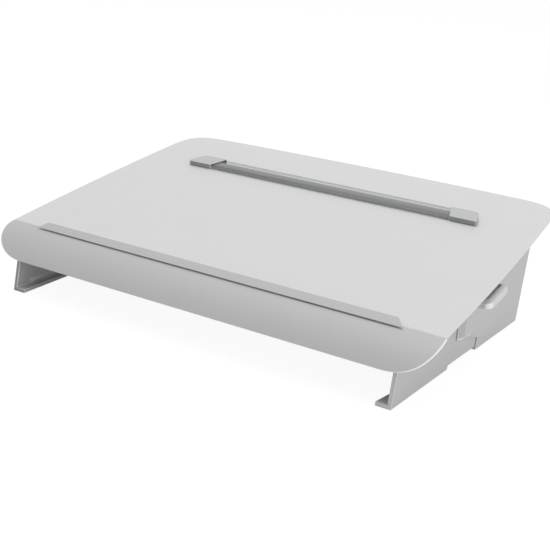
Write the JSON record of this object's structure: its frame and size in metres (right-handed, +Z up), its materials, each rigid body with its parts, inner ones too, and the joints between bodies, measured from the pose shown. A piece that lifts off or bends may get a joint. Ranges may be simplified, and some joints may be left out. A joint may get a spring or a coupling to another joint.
{
  "type": "sloped document holder with drawer",
  "caption": "Sloped desk document holder: sheet deck with curved front apron, paper ledge and sliding line guide, on a gliding, tilting carriage over a low base with a shallow drawer.",
  "frame": {"origin": "on the desk, under the middle of the whole outline", "axes": "+X to the user's right, -Y towards the user, +Z up"},
  "size_m": [0.5032, 0.3364, 0.122],
  "materials": {
    "deck_paint": "fine satin powder coat",
    "grey_plastic": "fine matt moulding",
    "steel_sheet": "satin powder coat",
    "screw_steel": "zinc plated",
    "black_nylon": "plain",
    "guide_grey": "satin",
    "felt": "felt",
    "magnet": "nickel plated",
    "clear_plastic": "clear",
    "tinted_plastic": "smoke tint",
    "rubber": "matt",
    "drawer_plastic": "fine matt moulding"
  },
  "bodies": {
    "base": {"front_bracket_left": "grey_plastic", "front_bracket_right": "grey_plastic", "rear_cheek_left": "grey_plastic", "rear_cheek_right": "grey_plastic", "side_joint_screws": "screw_steel", "rear_panel": "steel_sheet", "panel_screws": "screw_steel", "front_crossbar": "steel_sheet", "crossbar_screws": "screw_steel", "glide_rail_left": "steel_sheet", "glide_rail_right": "steel_sheet", "drawer_runner_left": "steel_sheet", "drawer_runner_right": "steel_sheet", "rail_screws": "screw_steel", "rubber_feet": "rubber"},
    "carriage": {"carriage_arm_left": "steel_sheet", "carriage_arm_right": "steel_sheet", "hinge_shaft": "screw_steel", "carriage_channel": "steel_sheet", "channel_screws": "screw_steel", "notch_rack_left": "black_nylon", "notch_rack_right": "black_nylon", "glide_blocks": "black_nylon", "deck_bumpers": "rubber"},
    "deck": {"deck_panel": "deck_paint", "front_apron": "grey_plastic", "paper_ledge": "grey_plastic", "deck_rib_left": "steel_sheet", "deck_rib_right": "steel_sheet", "hinge_bushes": "black_nylon", "front_stiffener": "steel_sheet", "rear_stiffener": "steel_sheet", "side_grip_left": "grey_plastic", "side_grip_right": "grey_plastic", "grip_screws": "screw_steel"},
    "stay": {"tilt_stay": "screw_steel"},
    "line_guide": {"guide_cap_left": "guide_grey", "guide_cap_right": "guide_grey", "guide_pads": "felt", "guide_magnets": "magnet", "guide_strip": "clear_plastic", "guide_lens": "tinted_plastic"},
    "drawer": {"drawer_tray": "drawer_plastic", "drawer_front": "grey_plastic", "drawer_divider": "drawer_plastic"}
  },
  "joints": [
    {"name": "carriage_glide", "type": "slide", "parent": "base", "child": "carriage", "axis": [0, -1, 0], "range_m": [0, 0.12]},
    {"name": "deck_tilt", "type": "hinge", "parent": "carriage", "child": "deck", "pos_m": [0, -0.12492, 0.05], "axis": [1, 0, 0], "range_deg": [0, 8]},
    {"name": "stay_swing", "type": "hinge", "parent": "deck", "child": "stay", "pos_m": [0, 0.04008, 0.088], "axis": [1, 0, 0], "range_deg": [-36.8, 0]},
    {"name": "guide_slide", "type": "slide", "parent": "deck", "child": "line_guide", "axis": [0, 0.9825, 0.1864], "range_m": [-0.195, 0.06]},
    {"name": "drawer_slide", "type": "slide", "parent": "base", "child": "drawer", "axis": [0, -1, 0], "range_m": [0, 0.13]}
  ],
  "couplings": [
    {"joint": "stay_swing", "follows": "deck_tilt", "ratio": -4.6}
  ]
}
